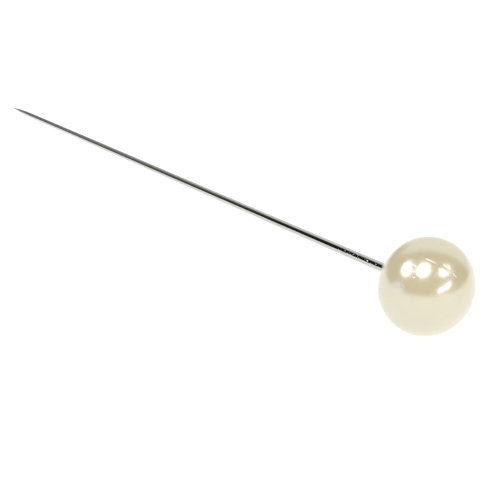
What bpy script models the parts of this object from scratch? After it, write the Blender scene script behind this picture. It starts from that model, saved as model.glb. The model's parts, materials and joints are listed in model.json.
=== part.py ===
"""A hat pin: a pointed steel wire glued into a pearl-coated plastic ball, a little flattened along the pin.

It lies on the plane z = 0, touching it with its head and its tapered point, head towards +X.
Every piece is turned about one axis, the pin's own, so each is drawn as an outline of
(x, radius) pairs: x runs along the pin from the head's centre, positive away from the point.
"""

import math

import bmesh
import bpy

# Driving dimensions, in metres
HEAD_DIAMETER = 0.012  # across the pin
HEAD_LENGTH = 0.0107  # along the pin
OVERALL_LENGTH = 0.152  # from the point to the far side of the head
WIRE_DIAMETER = 0.0012
POINT_LENGTH = 0.014  # of the ground taper
POINT_RADIUS = 0.00004  # of the blunted tip itself

COAT_THICKNESS = 0.00015  # of the dipped pearl skin
SEAT_DIAMETER = 0.003  # of the flat at the bore's mouth, which bears on the cloth
FAR_WALL = 0.0021  # of plastic left beyond the blind end of the bore

GLUE_FILM = 0.0002  # of glue round the wire
GLUE_PLUG = 0.0007  # of glue beyond the wire's end
GLUE_COLLAR = 0.00035  # how far the glue stands out of the mouth
GRIP_RING_COUNT = 4  # scored rings that key the wire into the glue
GRIP_RING_PITCH = 0.0014
GRIP_RING_WIDTH = 0.0004
GRIP_RING_DEPTH = 0.00004
WIRE_END_CHAMFER = 0.0001

# The real pieces touch. On pieces this small a gap of 0.05 mm keeps their meshes apart.
FIT_GAP = 0.00005

# Facets
HEAD_SEGMENTS = 48
HEAD_RINGS = 24  # from pole to pole
WIRE_SEGMENTS = 24
POINT_STATIONS = 9

# Places that follow from the dimensions
head_radius = HEAD_DIAMETER / 2
head_reach = HEAD_LENGTH / 2
core_radius = head_radius - COAT_THICKNESS - FIT_GAP
core_reach = head_reach - COAT_THICKNESS - FIT_GAP
seat_radius = SEAT_DIAMETER / 2
wire_radius = WIRE_DIAMETER / 2
glue_inner_radius = wire_radius + FIT_GAP
glue_outer_radius = glue_inner_radius + GLUE_FILM
bore_radius = glue_outer_radius + FIT_GAP
point_x = head_reach - OVERALL_LENGTH
seat_x = -head_reach * math.sqrt(1 - (seat_radius / head_radius) ** 2)
bore_end_x = core_reach - FAR_WALL
glue_end_x = bore_end_x - FIT_GAP
wire_end_x = glue_end_x - GLUE_PLUG - FIT_GAP


def add_material(name, colour, roughness, metallic):
    material = bpy.data.materials.new(name)
    material.use_nodes = True
    shader = material.node_tree.nodes["Principled BSDF"]
    shader.inputs["Base Color"].default_value = (*colour, 1)
    shader.inputs["Roughness"].default_value = roughness
    shader.inputs["Metallic"].default_value = metallic
    return material


def turn(name, outline, segments, material, parent):
    """A solid of revolution about x. The outline starts and ends on the axis."""
    mesh = bpy.data.meshes.new(name)
    form = bmesh.new()
    # the first outline lies half a facet off straight down, so that a facet faces the ground
    start = math.pi / segments
    corners = [form.verts.new((x, -r * math.sin(start), -r * math.cos(start))) for x, r in outline]
    edges = [form.edges.new(pair) for pair in zip(corners, corners[1:])]
    bmesh.ops.spin(
        form,
        geom=corners + edges,
        cent=(0, 0, 0),
        axis=(1, 0, 0),
        angle=2 * math.pi,
        steps=segments,
        use_merge=True,
    )
    bmesh.ops.remove_doubles(form, verts=form.verts, dist=1e-8)
    bmesh.ops.recalc_face_normals(form, faces=form.faces)
    form.to_mesh(mesh)
    form.free()
    mesh.shade_smooth()
    mesh.set_sharp_from_angle(angle=math.radians(35))
    mesh.materials.append(material)
    piece = bpy.data.objects.new(name, mesh)
    bpy.context.collection.objects.link(piece)
    piece.parent = parent
    return piece


def ball_outline(radius, reach, flat_x):
    """A ball's outline from its far pole, at reach, round to the edge of a flat at flat_x."""
    step = math.pi / HEAD_RINGS
    edge_angle = math.acos(flat_x / reach)
    outline = []
    ring = 0
    while ring * step < edge_angle - step / 4:
        outline.append((reach * math.cos(ring * step), radius * math.sin(ring * step)))
        ring += 1
    outline.append((flat_x, radius * math.sin(edge_angle)))
    return outline


def coat_outline():
    """The skin: over the ball and its flat to the bore, through it, and back inside."""
    outside = ball_outline(head_radius, head_reach, seat_x)
    inside = ball_outline(
        head_radius - COAT_THICKNESS, head_reach - COAT_THICKNESS, seat_x + COAT_THICKNESS
    )
    mouth_outside = [(seat_x, bore_radius)]
    mouth_inside = [(seat_x + COAT_THICKNESS, bore_radius)]
    return outside + mouth_outside + mouth_inside + inside[::-1]


def core_outline():
    """The ball inside the skin, with its blind bore."""
    mouth_x = seat_x + COAT_THICKNESS + FIT_GAP
    ball = ball_outline(core_radius, core_reach, mouth_x)
    return ball + [(mouth_x, bore_radius), (bore_end_x, bore_radius), (bore_end_x, 0)]


def glue_outline():
    """A cup of glue round the wire's end, with a collar that climbs the wire outside the mouth."""
    return [
        (glue_end_x, 0),
        (glue_end_x, glue_outer_radius),
        (seat_x, glue_outer_radius),
        (seat_x - GLUE_COLLAR / 2, (glue_outer_radius + glue_inner_radius) / 2),
        (seat_x - GLUE_COLLAR, glue_inner_radius),
        (wire_end_x + FIT_GAP, glue_inner_radius),
        (wire_end_x + FIT_GAP, 0),
    ]


def shaft_outline():
    """The wire from its point to its end in the bore."""
    outline = [(point_x, 0)]
    # the taper swells out of the point and runs into the full wire without an edge
    for station in range(POINT_STATIONS):
        along = station / (POINT_STATIONS - 1)
        swell = 1 - (1 - along) ** 2
        radius = POINT_RADIUS + (wire_radius - POINT_RADIUS) * swell
        outline.append((point_x + POINT_RADIUS + POINT_LENGTH * along, radius))
    for ring in reversed(range(GRIP_RING_COUNT)):
        middle = wire_end_x - GRIP_RING_PITCH * (ring + 1)
        outline.append((middle - GRIP_RING_WIDTH / 2, wire_radius))
        outline.append((middle, wire_radius - GRIP_RING_DEPTH))
        outline.append((middle + GRIP_RING_WIDTH / 2, wire_radius))
    outline.append((wire_end_x - WIRE_END_CHAMFER, wire_radius))
    outline.append((wire_end_x, wire_radius - WIRE_END_CHAMFER))
    outline.append((wire_end_x, 0))
    return outline


def lay_pin_down():
    """An empty at the head's centre that tilts the pin until head and taper both touch z = 0."""
    head_flat = head_radius * math.cos(math.pi / HEAD_SEGMENTS)
    wire_flat = math.cos(math.pi / WIRE_SEGMENTS)
    # of all the shaft's rings ahead of the head, the first to reach the ground sets the tilt
    tilt = min(
        math.atan2(head_flat - radius * wire_flat, -x)
        for x, radius in shaft_outline()
        if x < seat_x
    )
    axis = bpy.data.objects.new("pin_axis", None)
    axis.empty_display_size = head_radius
    axis.rotation_euler = (0, -tilt, 0)
    # the middle of the whole length stands over the origin
    axis.location = (-(head_reach + point_x * math.cos(tilt)) / 2, 0, head_flat * math.cos(tilt))
    bpy.context.collection.objects.link(axis)
    return axis


def main():
    for thing in list(bpy.data.objects):
        bpy.data.objects.remove(thing)
    axis = lay_pin_down()
    steel = add_material("plated_steel", (0.55, 0.56, 0.54), 0.18, 1.0)
    plastic = add_material("head_plastic", (0.86, 0.83, 0.76), 0.45, 0.0)
    pearl = add_material("pearl_lacquer", (0.87, 0.82, 0.70), 0.16, 0.0)
    glue = add_material("cured_glue", (0.80, 0.72, 0.50), 0.25, 0.0)
    turn("pin_shaft", shaft_outline(), WIRE_SEGMENTS, steel, axis)
    turn("head_core", core_outline(), HEAD_SEGMENTS, plastic, axis)
    turn("pearl_coat", coat_outline(), HEAD_SEGMENTS, pearl, axis)
    turn("glue_sleeve", glue_outline(), WIRE_SEGMENTS, glue, axis)


main()
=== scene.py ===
import bpy
import json
import math
import random
from mathutils import Matrix, Vector


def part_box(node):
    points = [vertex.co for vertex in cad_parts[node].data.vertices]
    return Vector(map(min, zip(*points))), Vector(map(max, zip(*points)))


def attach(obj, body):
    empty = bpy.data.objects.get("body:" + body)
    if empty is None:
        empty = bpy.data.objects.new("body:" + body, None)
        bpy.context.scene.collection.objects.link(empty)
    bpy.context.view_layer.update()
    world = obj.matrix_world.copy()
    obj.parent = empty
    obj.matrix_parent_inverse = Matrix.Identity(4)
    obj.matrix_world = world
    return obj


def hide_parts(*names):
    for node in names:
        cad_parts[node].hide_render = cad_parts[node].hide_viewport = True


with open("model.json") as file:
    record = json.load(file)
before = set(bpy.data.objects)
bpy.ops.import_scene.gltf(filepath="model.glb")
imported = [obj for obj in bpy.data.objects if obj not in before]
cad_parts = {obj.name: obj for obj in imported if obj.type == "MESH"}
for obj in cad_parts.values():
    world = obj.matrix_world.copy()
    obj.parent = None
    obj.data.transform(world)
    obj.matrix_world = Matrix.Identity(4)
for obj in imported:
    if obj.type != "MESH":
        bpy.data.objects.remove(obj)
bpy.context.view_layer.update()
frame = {"nodes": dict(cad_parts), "record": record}
mm = 0.001

# where the pin lies, read from the frame
seatMount = frame["record"]["mounts"][0]
alongPin = -Vector(seatMount["axis"]).normalized()      # from the point towards the head
coatLow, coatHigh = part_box("pearl_coat")
wireLow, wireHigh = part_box("pin_shaft")
glueLow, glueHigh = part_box("glue_sleeve")
headRadius = (coatHigh.z - coatLow.z) / 2
seatRadius = 1.5 * mm        # of the flat at the bore's mouth
seatShare = math.sqrt(1 - (seatRadius / headRadius) ** 2)
farPoint = Vector((coatHigh.x, 0, (coatLow.z + coatHigh.z) / 2))
headReach = (farPoint - Vector(seatMount["pos_m"])).dot(alongPin) / (1 + seatShare)    # half its length
headCentre = farPoint - Vector((headReach * alongPin.x, 0, 0))
wireRadius = (wireHigh.y - wireLow.y) / 2
glueRadius = (glueHigh.y - glueLow.y) / 2


def distanceAlong(x):    # a row-frame X as a distance along the pin from the head's centre
    return (x - headCentre.x) / alongPin.x


pointX = distanceAlong(wireLow.x)
wireEndX = distanceAlong(wireHigh.x)
glueEndX = distanceAlong(glueHigh.x)
collarX = distanceAlong(glueLow.x)
seatX = -headReach * seatShare
pinFrame = Matrix.Translation(headCentre) @ Matrix.Rotation(-math.asin(alongPin.z), 4, "Y")
print("frame read: head %.2f by %.2f mm, wire %.2f mm"
      % (2 * headRadius / mm, 2 * headReach / mm, 2 * wireRadius / mm))


# small helpers for modelling
def onlyThis(piece):
    if bpy.context.object and bpy.context.object.mode != "OBJECT":
        bpy.ops.object.mode_set(mode="OBJECT")
    bpy.ops.object.select_all(action="DESELECT")
    piece.select_set(True)
    bpy.context.view_layer.objects.active = piece


def pickFaces(piece, test):
    bpy.ops.object.mode_set(mode="EDIT")
    bpy.ops.mesh.select_mode(type="FACE")
    bpy.ops.mesh.select_all(action="DESELECT")
    bpy.ops.object.mode_set(mode="OBJECT")
    for face in piece.data.polygons:
        face.select = test(face)
    bpy.ops.object.mode_set(mode="EDIT")


def turnOutline(name, outline, sides):      # draws the outline by extruding a point, then spins it round X
    bpy.ops.object.select_all(action="DESELECT")
    bpy.ops.mesh.primitive_plane_add(size=wireRadius, location=(outline[0][0], 0, outline[0][1]))
    piece = bpy.context.object
    piece.name = piece.data.name = name
    bpy.ops.object.transform_apply(location=True, rotation=True, scale=True)
    bpy.ops.object.mode_set(mode="EDIT")
    bpy.ops.mesh.select_mode(type="VERT")
    bpy.ops.mesh.select_all(action="SELECT")
    bpy.ops.mesh.merge(type="CENTER")
    for (x, radius), (nextX, nextRadius) in zip(outline, outline[1:]):
        bpy.ops.mesh.extrude_region_move(
            TRANSFORM_OT_translate={"value": (nextX - x, 0, nextRadius - radius)})
    bpy.ops.mesh.select_all(action="SELECT")
    bpy.ops.mesh.spin(steps=sides, angle=2 * math.pi, center=(0, 0, 0), axis=(1, 0, 0))
    bpy.ops.mesh.select_all(action="SELECT")
    bpy.ops.mesh.remove_doubles(threshold=0.000001)
    bpy.ops.mesh.normals_make_consistent(inside=False)
    bpy.ops.object.mode_set(mode="OBJECT")
    return piece


def weigh(piece, name, strength):      # a vertex group whose weights say how far each point is pushed
    group = piece.vertex_groups.new(name=name)
    for vert in piece.data.vertices:
        weight = strength(vert.co)
        if weight > 0.001:
            group.add([vert.index], min(weight, 1), "REPLACE")
    return name


# moves the surface out (or in) and bakes that into the mesh
def push(piece, depth, group=None, texture=None):
    onlyThis(piece)
    move = piece.modifiers.new("push", "DISPLACE")
    move.strength = depth
    move.mid_level = 0.5 if texture else 0
    move.direction = "NORMAL"
    if group:
        move.vertex_group = group
    if texture:
        move.texture = texture
        move.texture_coords = "LOCAL"
    bpy.ops.object.modifier_apply(modifier=move.name)
    if group:
        piece.vertex_groups.remove(piece.vertex_groups[group])


def cloudTexture(name, size, depth):
    texture = bpy.data.textures.new(name, "CLOUDS")
    texture.noise_scale = size
    texture.noise_depth = depth
    return texture


def bell(distance, width):
    return math.exp(-(distance / width) ** 2)


def ramp(value, start, end):
    t = min(max((value - start) / (end - start), 0), 1)
    return t * t * (3 - 2 * t)


def onBall(fromPole, turn):     # a point on the head: degrees from the far pole, and round from the top
    pole, about = math.radians(fromPole), math.radians(turn)
    side = math.sin(pole)
    return headRadius * Vector((math.cos(pole), -side * math.sin(about), side * math.cos(about)))


def finish(piece, angle):
    onlyThis(piece)
    bpy.ops.object.shade_smooth_by_angle(angle=math.radians(angle))
    piece.matrix_world = pinFrame
    bpy.ops.object.transform_apply(location=True, rotation=True, scale=True)
    return piece


# shared effects, as node groups in millimetres along the pin
def newGroup(name, inputs, outputs):
    group = bpy.data.node_groups.new(name, "ShaderNodeTree")
    for label, kind, value in inputs:
        socket = group.interface.new_socket(label, in_out="INPUT", socket_type=kind)
        socket.default_value = value
    for label, kind in outputs:
        group.interface.new_socket(label, in_out="OUTPUT", socket_type=kind)
    return group, group.nodes.new("NodeGroupInput"), group.nodes.new("NodeGroupOutput")


def addNode(tree, kind, **settings):
    node = tree.nodes.new(kind)
    for key, value in settings.items():
        setattr(node, key, value)
    return node


def addMath(tree, operation, first, second=None, clamp=False):
    node = addNode(tree, "ShaderNodeMath", operation=operation, use_clamp=clamp)
    for socket, value in zip(node.inputs, (first, second)):
        if value is None:
            continue
        if isinstance(value, (int, float)):
            socket.default_value = value
        else:
            tree.links.new(value, socket)
    return node.outputs[0]


def pinCoordinates(tree):      # object coordinates turned to lie along the pin, in millimetres
    place = addNode(tree, "ShaderNodeTexCoord")
    mapping = addNode(tree, "ShaderNodeMapping", vector_type="TEXTURE")
    mapping.inputs["Location"].default_value = headCentre
    mapping.inputs["Rotation"].default_value = pinFrame.to_euler()
    mapping.inputs["Scale"].default_value = (mm, mm, mm)
    tree.links.new(place.outputs["Object"], mapping.inputs["Vector"])
    return mapping.outputs["Vector"]


def makeMottle():      # slow, soft change between two colours
    group, given, result = newGroup(
        "mottle",
        [("Size", "NodeSocketFloat", 2.0), ("Contrast", "NodeSocketFloat", 1.0),
         ("Light", "NodeSocketColor", (1, 1, 1, 1)), ("Dark", "NodeSocketColor", (0, 0, 0, 1))],
        [("Colour", "NodeSocketColor"), ("Mask", "NodeSocketFloat")])
    noise = addNode(group, "ShaderNodeTexNoise")
    noise.inputs["Detail"].default_value = 4
    noise.inputs["Roughness"].default_value = 0.55
    group.links.new(pinCoordinates(group), noise.inputs["Vector"])
    group.links.new(addMath(group, "DIVIDE", 1.0, given.outputs["Size"]), noise.inputs["Scale"])
    spread = addMath(group, "SUBTRACT", noise.outputs["Fac"], 0.5)
    spread = addMath(group, "MULTIPLY", spread, given.outputs["Contrast"])
    mask = addMath(group, "ADD", spread, 0.5, clamp=True)
    mix = addNode(group, "ShaderNodeMix", data_type="RGBA")
    group.links.new(mask, mix.inputs["Factor"])
    group.links.new(given.outputs["Light"], mix.inputs["A"])
    group.links.new(given.outputs["Dark"], mix.inputs["B"])
    group.links.new(mix.outputs["Result"], result.inputs["Colour"])
    group.links.new(mask, result.inputs["Mask"])
    return group


def makeHairlines():      # fine scratches, long along the pin and narrow across it
    group, given, result = newGroup(
        "hairlines",
        [("Length", "NodeSocketFloat", 8.0), ("Width", "NodeSocketFloat", 0.05),
         ("Amount", "NodeSocketFloat", 0.3)],
        [("Height", "NodeSocketFloat"), ("Mask", "NodeSocketFloat")])
    stretch = addNode(group, "ShaderNodeCombineXYZ")
    group.links.new(addMath(group, "DIVIDE", 1.0, given.outputs["Length"]), stretch.inputs["X"])
    across = addMath(group, "DIVIDE", 1.0, given.outputs["Width"])
    group.links.new(across, stretch.inputs["Y"])
    group.links.new(across, stretch.inputs["Z"])
    scaled = addNode(group, "ShaderNodeVectorMath", operation="MULTIPLY")
    group.links.new(pinCoordinates(group), scaled.inputs[0])
    group.links.new(stretch.outputs["Vector"], scaled.inputs[1])
    noise = addNode(group, "ShaderNodeTexNoise")
    noise.inputs["Scale"].default_value = 1
    noise.inputs["Detail"].default_value = 3
    group.links.new(scaled.outputs["Vector"], noise.inputs["Vector"])
    group.links.new(noise.outputs["Fac"], result.inputs["Height"])
    deep = addMath(group, "SUBTRACT", 1.0, given.outputs["Amount"])
    over = addMath(group, "SUBTRACT", noise.outputs["Fac"], deep)
    group.links.new(addMath(group, "MULTIPLY", over, 6.0, clamp=True), result.inputs["Mask"])
    return group


def makeSpecks():      # scattered round spots: pits, dust and small bubbles
    group, given, result = newGroup(
        "specks",
        [("Spacing", "NodeSocketFloat", 0.5), ("Radius", "NodeSocketFloat", 0.15),
         ("Share", "NodeSocketFloat", 0.3)],
        [("Mask", "NodeSocketFloat")])
    cells = addNode(group, "ShaderNodeTexVoronoi")
    group.links.new(pinCoordinates(group), cells.inputs["Vector"])
    group.links.new(addMath(group, "DIVIDE", 1.0, given.outputs["Spacing"]), cells.inputs["Scale"])
    near = addMath(group, "DIVIDE", cells.outputs["Distance"], given.outputs["Radius"])
    spot = addMath(group, "SUBTRACT", 1.0, near, clamp=True)
    split = addNode(group, "ShaderNodeSeparateColor")
    group.links.new(cells.outputs["Color"], split.inputs["Color"])
    chosen = addMath(group, "LESS_THAN", split.outputs["Red"], given.outputs["Share"])
    group.links.new(addMath(group, "MULTIPLY", spot, chosen), result.inputs["Mask"])
    return group


def makeStretch():      # 0 before Start and 1 after End, measured along the pin
    group, given, result = newGroup(
        "stretchOfPin",
        [("Start", "NodeSocketFloat", 0.0), ("End", "NodeSocketFloat", 1.0),
         ("Ragged", "NodeSocketFloat", 0.5)],
        [("Mask", "NodeSocketFloat")])
    where = pinCoordinates(group)
    split = addNode(group, "ShaderNodeSeparateXYZ")
    group.links.new(where, split.inputs["Vector"])
    noise = addNode(group, "ShaderNodeTexNoise")
    noise.inputs["Scale"].default_value = 2.2
    group.links.new(where, noise.inputs["Vector"])
    wander = addMath(group, "SUBTRACT", noise.outputs["Fac"], 0.5)
    wander = addMath(group, "MULTIPLY", wander, given.outputs["Ragged"])
    place = addMath(group, "ADD", split.outputs["X"], wander)
    span = addNode(group, "ShaderNodeMapRange", interpolation_type="SMOOTHSTEP")
    group.links.new(place, span.inputs["Value"])
    group.links.new(given.outputs["Start"], span.inputs["From Min"])
    group.links.new(given.outputs["End"], span.inputs["From Max"])
    group.links.new(span.outputs["Result"], result.inputs["Mask"])
    return group


mottle = makeMottle()
hairlines = makeHairlines()
specks = makeSpecks()
stretchOfPin = makeStretch()
print("node groups made")


def newMaterial(name, **fixed):
    material = bpy.data.materials.new(name)
    material.use_nodes = True
    shader = material.node_tree.nodes["Principled BSDF"]
    for socket, value in fixed.items():
        shader.inputs[socket.replace("_", " ")].default_value = value
    return material, material.node_tree, shader


def useGroup(tree, group, **values):
    node = addNode(tree, "ShaderNodeGroup", node_tree=group)
    for socket, value in values.items():
        node.inputs[socket].default_value = value
    return node


def addBump(tree, shader, height, distance, under=None):
    bump = addNode(tree, "ShaderNodeBump")
    bump.inputs["Distance"].default_value = distance
    tree.links.new(height, bump.inputs["Height"])
    if under:
        tree.links.new(under.outputs["Normal"], bump.inputs["Normal"])
    tree.links.new(bump.outputs["Normal"], shader.inputs["Normal"])
    return bump


def scaleTo(tree, value, low, high):
    span = addNode(tree, "ShaderNodeMapRange")
    span.inputs["To Min"].default_value = low
    span.inputs["To Max"].default_value = high
    tree.links.new(value, span.inputs["Value"])
    return span.outputs["Result"]


def blendColours(tree, mask, first, second):
    mix = addNode(tree, "ShaderNodeMix", data_type="RGBA")
    tree.links.new(mask, mix.inputs["Factor"])
    for socket, value in (("A", first), ("B", second)):
        if isinstance(value, tuple):
            mix.inputs[socket].default_value = value
        else:
            tree.links.new(value, mix.inputs[socket])
    return mix.outputs["Result"]


# the wire
wire = {
    "sides": 48,
    "pointLength": 14 * mm,
    "pointRadius": 0.04 * mm,
    "pointStations": 30,
    "gripLength": 10.2 * mm,       # the stretch next to the head that the jaws bit
    "gripStep": 0.06 * mm,
    "bitePitch": 0.5 * mm,
    "biteDepth": 0.045 * mm,
    "biteWidth": 0.08 * mm,
    "biteSlant": 0.9,             # how far a bite runs along the wire for its way round
    "endChamfer": 0.1 * mm,
    "steel": (0.60, 0.60, 0.57, 1),
    "steelDark": (0.47, 0.47, 0.44, 1),
    "scratched": (0.52, 0.51, 0.47, 1),
    "pitted": (0.66, 0.64, 0.58, 1),
    "scratchShare": 0.42,
    "roughness": 0.07,
    "roughInScratches": 0.12,
    "roughInGrip": 0.03,
}


def wireOutline():
    outline = [(pointX, 0)]
    for station in range(wire["pointStations"] + 1):
        share = station / wire["pointStations"]
        swell = 1 - (1 - share) ** 2
        radius = wire["pointRadius"] + (wireRadius - wire["pointRadius"]) * swell
        outline.append((pointX + wire["pointRadius"] + wire["pointLength"] * share, radius))
    x = seatX - wire["gripLength"]
    outline.append((x, wireRadius))
    while x < seatX + 1 * mm:
        x += wire["gripStep"]
        outline.append((x, wireRadius))
    outline.append((wireEndX - wire["endChamfer"], wireRadius))
    outline.append((wireEndX, wireRadius - wire["endChamfer"]))
    outline.append((wireEndX, 0))
    return outline


def biteStrength(bites):
    def strength(co):
        if co.x < seatX - wire["gripLength"] - 0.5 * mm or co.x > seatX + 0.5 * mm:
            return 0
        turn = math.atan2(-co.y, co.z)
        most = 0
        for biteX, biteTurn, reach, size in bites:
            away = (turn - biteTurn + math.pi) % (2 * math.pi) - math.pi
            if abs(away) < reach * 1.8:
                offset = co.x - biteX - wire["biteSlant"] * wireRadius * away
                most = max(most, size * bell(offset, wire["biteWidth"]) * bell(away, reach))
        return most
    return strength


def makeWire():
    piece = turnOutline("steel_wire", wireOutline(), wire["sides"])
    dice = random.Random(11)
    bites = []
    x = seatX - wire["gripLength"]
    while x < seatX:
        for side in (0.9, 0.9 + math.pi):      # the two jaws
            bites.append((x + dice.uniform(-0.1, 0.1) * mm, side + dice.uniform(-0.5, 0.5),
                          dice.uniform(0.3, 0.7), dice.uniform(0.4, 1)))
        x += wire["bitePitch"] * dice.uniform(0.8, 1.2)
    push(piece, -wire["biteDepth"], group=weigh(piece, "bites", biteStrength(bites)))
    return finish(piece, 40)


def steelMaterial():
    material, tree, shader = newMaterial("polishedWire", Metallic=1.0)
    tone = useGroup(tree, mottle, Size=3.0, Contrast=1.4, Light=wire["steel"], Dark=wire["steelDark"])
    drawn = useGroup(tree, hairlines, Length=9.0, Width=0.035, Amount=wire["scratchShare"])
    grip = useGroup(tree, stretchOfPin, Start=(seatX - wire["gripLength"]) / mm - 0.4,
                    End=(seatX - wire["gripLength"]) / mm + 0.6, Ragged=1.5)
    dust = useGroup(tree, specks, Spacing=0.35, Radius=0.3, Share=0.25)
    scored = addMath(tree, "MULTIPLY", grip.outputs["Mask"], dust.outputs["Mask"])
    colour = blendColours(tree, drawn.outputs["Mask"], tone.outputs["Colour"], wire["scratched"])
    colour = blendColours(tree, scored, colour, wire["pitted"])
    tree.links.new(colour, shader.inputs["Base Color"])
    rough = scaleTo(tree, drawn.outputs["Mask"], wire["roughness"], wire["roughInScratches"])
    rough = addMath(tree, "ADD", rough, scaleTo(tree, grip.outputs["Mask"], 0, wire["roughInGrip"]))
    tree.links.new(rough, shader.inputs["Roughness"])
    lines = addBump(tree, shader, drawn.outputs["Height"], 0.002 * mm)
    addBump(tree, shader, scored, 0.02 * mm, under=lines)
    return material


wirePiece = makeWire()
wirePiece.data.materials.append(steelMaterial())
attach(wirePiece, "root")
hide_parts("pin_shaft")
print("wire made: %d faces" % len(wirePiece.data.polygons))

# the pearl skin
pearl = {
    "segments": 192,
    "rings": 96,
    "skin": 0.15 * mm,
    "boreRadius": glueRadius + 0.06 * mm,
    "mouthRounding": 0.05 * mm,
    "rimLoop": 0.08 * mm,        # between the flat's edges and the loops that hold them sharp
    "seamNormal": (-0.25, 0.80, 0.55),       # the mould's parting line runs round the ball square to this
    "seamBand": 0.4 * mm,
    "seamRidge": 0.035 * mm,
    "seamWidth": 0.06 * mm,
    "seamFaint": 0.12,           # how much of it is left away from the stretch that shows
    "seamShows": ((32, 10), (64, 25)),       # that stretch's ends: degrees from the far pole, and round
    "seamHollow": 0.6,           # the hollow beside the lip, as a share of its height
    "seamHollowAside": 0.16 * mm,
    "peelSize": 1.6 * mm,
    "peelDepth": 0.010 * mm,
    "body": (0.745, 0.635, 0.42, 1),
    "bodyShade": (0.725, 0.61, 0.385, 1),
    "pitted": (0.60, 0.48, 0.28, 1),
    "roughness": 0.22,
    "sheen": (0.74, 0.92, 1.0, 1),
    "sheenIor": 2.65,
    # marks on the lacquer: degrees from the far pole, degrees round from the top, radius, depth
    "marks": [(73, 44, 0.14 * mm, -0.03 * mm), (70, 49, 0.11 * mm, -0.03 * mm),
              (67, 55, 0.13 * mm, -0.03 * mm), (33, 11, 0.24 * mm, 0.05 * mm),
              (81, 2, 0.12 * mm, 0.02 * mm), (57, 9, 0.10 * mm, -0.02 * mm),
              (76, 70, 0.12 * mm, -0.03 * mm), (79, 48, 0.08 * mm, -0.02 * mm),
              (62, 53, 0.09 * mm, 0.02 * mm), (86, -4, 0.09 * mm, -0.02 * mm),
              (84, 6, 0.08 * mm, 0.02 * mm)],
}


def seamDistance(co):
    return co.dot(Vector(pearl["seamNormal"]).normalized())


def seamStrength(shift):
    sharpEnd, softEnd = [onBall(*end) for end in pearl["seamShows"]]

    def strength(co):
        away = abs(seamDistance(co) - shift)
        if away > 3 * pearl["seamWidth"]:
            return 0
        reach = (co - sharpEnd).length + (co - softEnd).length - (sharpEnd - softEnd).length
        loud = 1 - ramp(reach, 0.3 * mm, 1.2 * mm)
        return bell(away, pearl["seamWidth"]) * (pearl["seamFaint"] + (1 - pearl["seamFaint"]) * loud)
    return strength


def makePearl():
    bpy.ops.object.select_all(action="DESELECT")
    bpy.ops.mesh.primitive_uv_sphere_add(segments=pearl["segments"], ring_count=pearl["rings"],
                                         radius=headRadius, rotation=(0, math.pi / 2, 0))
    piece = bpy.context.object
    piece.name = piece.data.name = "pearl_skin"
    bpy.ops.object.transform_apply(location=True, rotation=True, scale=True)
    bpy.ops.object.mode_set(mode="EDIT")
    # the ball is cut off at the mouth, and the cut's rim is drawn in to the bore, which makes the flat
    flatX = -headRadius * seatShare
    bpy.ops.mesh.select_mode(type="EDGE")
    bpy.ops.mesh.select_all(action="SELECT")
    bpy.ops.mesh.bisect(plane_co=(flatX, 0, 0), plane_no=(1, 0, 0), clear_inner=True,
                        threshold=0.0001 * mm)      # its own 0.1 mm would swallow the rings beside the cut
    rim = seatRadius
    for nextRim in (seatRadius - pearl["rimLoop"], pearl["boreRadius"] + pearl["rimLoop"],
                    pearl["boreRadius"]):
        bpy.ops.mesh.extrude_region_move(TRANSFORM_OT_translate={"value": (0, 0, 0)})
        bpy.ops.transform.resize(value=(1, nextRim / rim, nextRim / rim), center_override=(flatX, 0, 0))
        rim = nextRim
    # a finer mesh along the parting line and round each mark
    spots = [(onBall(mark[0], mark[1]), mark[2]) for mark in pearl["marks"]]
    pickFaces(piece, lambda face: face.center.x > flatX + 0.3 * mm and (
        abs(seamDistance(face.center)) < pearl["seamBand"]
        or any((face.center - spot).length < 3 * radius for spot, radius in spots)))
    bpy.ops.mesh.subdivide(number_cuts=3)
    bpy.ops.object.mode_set(mode="OBJECT")
    domed = weigh(piece, "ball", lambda co: 1 if co.x > flatX + 0.001 * mm else 0)
    cast = piece.modifiers.new("ball", "CAST")
    cast.factor = 1
    cast.use_radius_as_size = False
    cast.size = headRadius
    cast.vertex_group = domed
    onlyThis(piece)
    bpy.ops.object.modifier_apply(modifier=cast.name)
    piece.vertex_groups.remove(piece.vertex_groups[domed])
    # the skin's wall, with the edges of its mouth rounded
    skin = piece.modifiers.new("skin", "SOLIDIFY")
    skin.thickness = pearl["skin"]
    skin.offset = -1
    onlyThis(piece)
    bpy.ops.object.modifier_apply(modifier=skin.name)
    mouth = piece.modifiers.new("mouth", "BEVEL")
    mouth.width = pearl["mouthRounding"]
    mouth.segments = 2
    mouth.limit_method = "ANGLE"
    mouth.angle_limit = math.radians(60)
    bpy.ops.object.modifier_apply(modifier=mouth.name)

    # lacquer runs, the seam's lip with its hollow beside it, and the marks, on the outer face alone
    def outside(strength):
        return lambda co: strength(co) if co.length > headRadius - pearl["skin"] / 2 else 0

    away = weigh(piece, "peel", outside(lambda co: ramp(co.x, flatX, flatX + 1 * mm)))
    push(piece, pearl["peelDepth"], group=away, texture=cloudTexture("peel", pearl["peelSize"], 1))
    lip = weigh(piece, "lip", outside(seamStrength(0)))
    push(piece, pearl["seamRidge"], group=lip)
    hollow = weigh(piece, "hollow", outside(seamStrength(-pearl["seamHollowAside"])))
    push(piece, -pearl["seamHollow"] * pearl["seamRidge"], group=hollow)
    for (spot, radius), (_, _, _, depth) in zip(spots, pearl["marks"]):
        mark = weigh(piece, "mark", outside(lambda co: bell((co - spot).length, radius)))
        push(piece, depth, group=mark)
    # the ball is a little flat along the pin
    bpy.ops.object.mode_set(mode="EDIT")
    bpy.ops.mesh.select_all(action="SELECT")
    bpy.ops.transform.resize(value=(headReach / headRadius, 1, 1), center_override=(0, 0, 0))
    bpy.ops.object.mode_set(mode="OBJECT")
    return finish(piece, 50)


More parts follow.
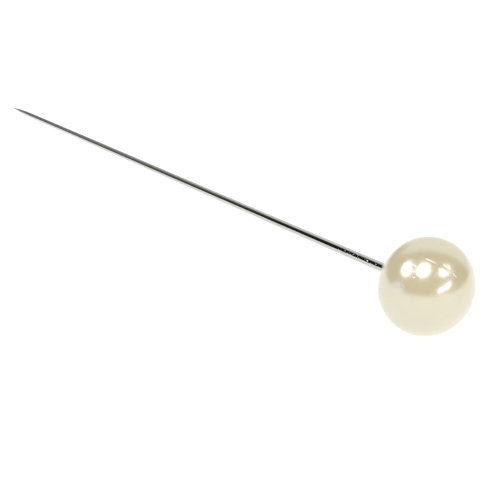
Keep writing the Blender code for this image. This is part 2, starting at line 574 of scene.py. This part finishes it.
def pearlMaterial():
    material, tree, shader = newMaterial(
        "pearlLacquer", IOR=pearl["sheenIor"], Specular_Tint=pearl["sheen"], Coat_Weight=0.4,
        Coat_Roughness=0.05)
    tone = useGroup(tree, mottle, Size=2.6, Contrast=1.3, Light=pearl["body"], Dark=pearl["bodyShade"])
    grain = useGroup(tree, mottle, Size=0.16, Contrast=1.0)
    pits = useGroup(tree, specks, Spacing=0.9, Radius=0.11, Share=0.22)
    colour = blendColours(tree, scaleTo(tree, pits.outputs["Mask"], 0, 0.5), tone.outputs["Colour"],
                          pearl["pitted"])
    tree.links.new(colour, shader.inputs["Base Color"])
    tree.links.new(scaleTo(tree, grain.outputs["Mask"], pearl["roughness"] - 0.03, pearl["roughness"] + 0.05),
                   shader.inputs["Roughness"])
    fine = addBump(tree, shader, grain.outputs["Mask"], 0.0002 * mm)
    addBump(tree, shader, scaleTo(tree, pits.outputs["Mask"], 0, -1), 0.01 * mm, under=fine)
    return material


pearlPiece = makePearl()
pearlPiece.data.materials.append(pearlMaterial())
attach(pearlPiece, "root")
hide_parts("pearl_coat")
print("pearl made: %d faces" % len(pearlPiece.data.polygons))

# the glue, and its collar at the mouth
glue = {
    "sides": 64,
    "gap": 0.05 * mm,
    "collarSteps": 8,
    "lumpSize": 0.7 * mm,
    "lumpDepth": 0.05 * mm,
    "clear": (0.80, 0.73, 0.52, 1),
    "yellowed": (0.70, 0.58, 0.32, 1),
    "bubble": (0.88, 0.84, 0.70, 1),
}


def makeGlue():
    inner = wireRadius + glue["gap"]
    outline = [(glueEndX, 0), (glueEndX, glueRadius), (seatX, glueRadius)]
    for step in range(1, glue["collarSteps"] + 1):      # the collar hollows in as it climbs the wire
        share = step / glue["collarSteps"]
        outline.append((seatX + (collarX - seatX) * share, inner + (glueRadius - inner) * (1 - share) ** 2))
    outline += [(wireEndX + glue["gap"], inner), (wireEndX + glue["gap"], 0)]
    piece = turnOutline("glue_fill", outline, glue["sides"])
    collar = weigh(piece, "collar", lambda co: ramp(-co.x, -seatX, -seatX + 0.08 * mm)
                   * ramp(math.hypot(co.y, co.z), inner, inner + 0.03 * mm))
    push(piece, glue["lumpDepth"], group=collar, texture=cloudTexture("lumps", glue["lumpSize"], 0))
    return finish(piece, 45)


def glueMaterial():
    material, tree, shader = newMaterial("amberGlue", IOR=1.5, Coat_Weight=0.3, Coat_Roughness=0.05)
    tone = useGroup(tree, mottle, Size=0.8, Contrast=1.5, Light=glue["clear"], Dark=glue["yellowed"])
    bubbles = useGroup(tree, specks, Spacing=0.22, Radius=0.25, Share=0.3)
    tree.links.new(blendColours(tree, bubbles.outputs["Mask"], tone.outputs["Colour"],
                                glue["bubble"]), shader.inputs["Base Color"])
    tree.links.new(scaleTo(tree, tone.outputs["Mask"], 0.12, 0.3), shader.inputs["Roughness"])
    addBump(tree, shader, bubbles.outputs["Mask"], 0.01 * mm)
    return material


gluePiece = makeGlue()
gluePiece.data.materials.append(glueMaterial())
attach(gluePiece, "root")
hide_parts("glue_sleeve")
print("glue made")


# the moulded ball inside the skin stays as the frame has it
plastic = {
    "cream": (0.86, 0.83, 0.76, 1),
    "creamShade": (0.80, 0.77, 0.69, 1),
}


def plasticMaterial():
    material, tree, shader = newMaterial("mouldedPlastic", IOR=1.5)
    tone = useGroup(tree, mottle, Size=1.5, Contrast=1.0, Light=plastic["cream"],
                    Dark=plastic["creamShade"])
    grain = useGroup(tree, mottle, Size=0.08, Contrast=1.0)
    tree.links.new(tone.outputs["Colour"], shader.inputs["Base Color"])
    tree.links.new(scaleTo(tree, grain.outputs["Mask"], 0.4, 0.55), shader.inputs["Roughness"])
    addBump(tree, shader, grain.outputs["Mask"], 0.003 * mm)
    return material


core = frame["nodes"]["head_core"]
core.data.materials.clear()
core.data.materials.append(plasticMaterial())

# floor, room and lamps
studio = {
    "floorSize": 6.0,
    "floorGlow": 1.14,
    "room": (0.012, 0.011, 0.006),
    # soft glows on the room's walls: turn and rise of the middle (degrees, round from -Y towards +X),
    # how many degrees off it the glow starts and is full, and its colour
    "glows": {
        "backdrop": (-140, 20, 62, 40, (0.98, 0.98, 0.98)),
        "side": (-90, 5, 36, 8, (0.24, 0.24, 0.24)),
    },
    # each lamp: turn, rise, width, height, roll (all degrees as seen from the head), brightness, colour
    "lamps": {
        "lampLeft": (-24, 45, 38, 30, -20, 3.1, (1.0, 1.0, 1.0)),
        "lampMiddle": (40, 57, 33, 38, 0, 3.1, (1.0, 1.0, 1.0)),
        "lampRight": (111, 41, 32, 20, 0, 3.6, (1.0, 0.99, 0.95)),
        "lampStrip": (96, 12, 33, 8, 16, 6.5, (1.0, 1.0, 1.0)),
        "screenGlow": (-19, 4, 36, 24, 0, 1.1, (0.50, 0.68, 1.0)),
    },
    "lampDistance": 0.7,
}


def direction(turn, rise):
    turn, rise = math.radians(turn), math.radians(rise)
    return Vector((math.sin(turn) * math.cos(rise), -math.cos(turn) * math.cos(rise), math.sin(rise)))


def makeFloor():
    bpy.ops.object.select_all(action="DESELECT")
    bpy.ops.mesh.primitive_plane_add(size=studio["floorSize"])
    floor = bpy.context.object
    floor.name = "light_table"
    material, tree, shader = newMaterial("whiteTable", Roughness=0.6, Emission_Strength=studio["floorGlow"])
    shader.inputs["Base Color"].default_value = (0.04, 0.04, 0.04, 1)
    shader.inputs["Emission Color"].default_value = (1, 1, 1, 1)
    floor.data.materials.append(material)


def makeRoom():
    world = bpy.data.worlds.new("room")
    bpy.context.scene.world = world
    world.use_nodes = True
    tree = world.node_tree
    place = addNode(tree, "ShaderNodeTexCoord")
    seen = (*studio["room"], 1)
    for turn, rise, start, full, colour in studio["glows"].values():
        facing = addNode(tree, "ShaderNodeVectorMath", operation="DOT_PRODUCT")
        tree.links.new(place.outputs["Generated"], facing.inputs[0])
        facing.inputs[1].default_value = direction(turn, rise)
        span = addNode(tree, "ShaderNodeMapRange", interpolation_type="SMOOTHSTEP")
        span.inputs["From Min"].default_value = math.cos(math.radians(start))
        span.inputs["From Max"].default_value = math.cos(math.radians(full))
        tree.links.new(facing.outputs["Value"], span.inputs["Value"])
        seen = blendColours(tree, span.outputs["Result"], seen, (*colour, 1))
    path = addNode(tree, "ShaderNodeLightPath")
    plain = blendColours(tree, path.outputs["Is Camera Ray"], seen, (1, 1, 1, 1))
    tree.links.new(plain, tree.nodes["Background"].inputs["Color"])


def makeLamps():
    for name, (turn, rise, width, height, roll, brightness, colour) in studio["lamps"].items():
        distance = studio["lampDistance"]
        light = bpy.data.lights.new(name, "AREA")
        light.shape = "RECTANGLE" if name == "lampStrip" else "ELLIPSE"
        light.size = 2 * distance * math.tan(math.radians(width / 2))
        light.size_y = 2 * distance * math.tan(math.radians(height / 2))
        light.energy = brightness * math.pi * light.size * light.size_y
        light.color = colour
        lamp = bpy.data.objects.new(name, light)
        bpy.context.collection.objects.link(lamp)
        towards = direction(turn, rise)
        aim = towards.to_track_quat("Z", "Y").to_matrix().to_4x4()
        lamp.matrix_world = (Matrix.Translation(headCentre + distance * towards) @ aim
                             @ Matrix.Rotation(math.radians(roll), 4, "Z"))
        lamp.visible_camera = False


camera = {
    "turn": 55.22,          # degrees round from -Y towards +X
    "rise": 23.16,
    "lens": 55.2,
    "position": (125.53 * mm, -63.45 * mm, 45.45 * mm),
}


def makeCamera():
    data = bpy.data.cameras.new("camera")
    data.lens = camera["lens"]
    data.sensor_width = 36
    data.clip_start = 0.005
    eye = bpy.data.objects.new("camera", data)
    bpy.context.collection.objects.link(eye)
    back = direction(camera["turn"], camera["rise"])
    aim = back.to_track_quat("Z", "Y").to_matrix().to_4x4()
    eye.matrix_world = Matrix.Translation(camera["position"]) @ aim
    bpy.context.scene.camera = eye


makeFloor()
makeRoom()
makeLamps()
makeCamera()
bpy.context.scene.view_settings.view_transform = "Standard"
print("studio ready")
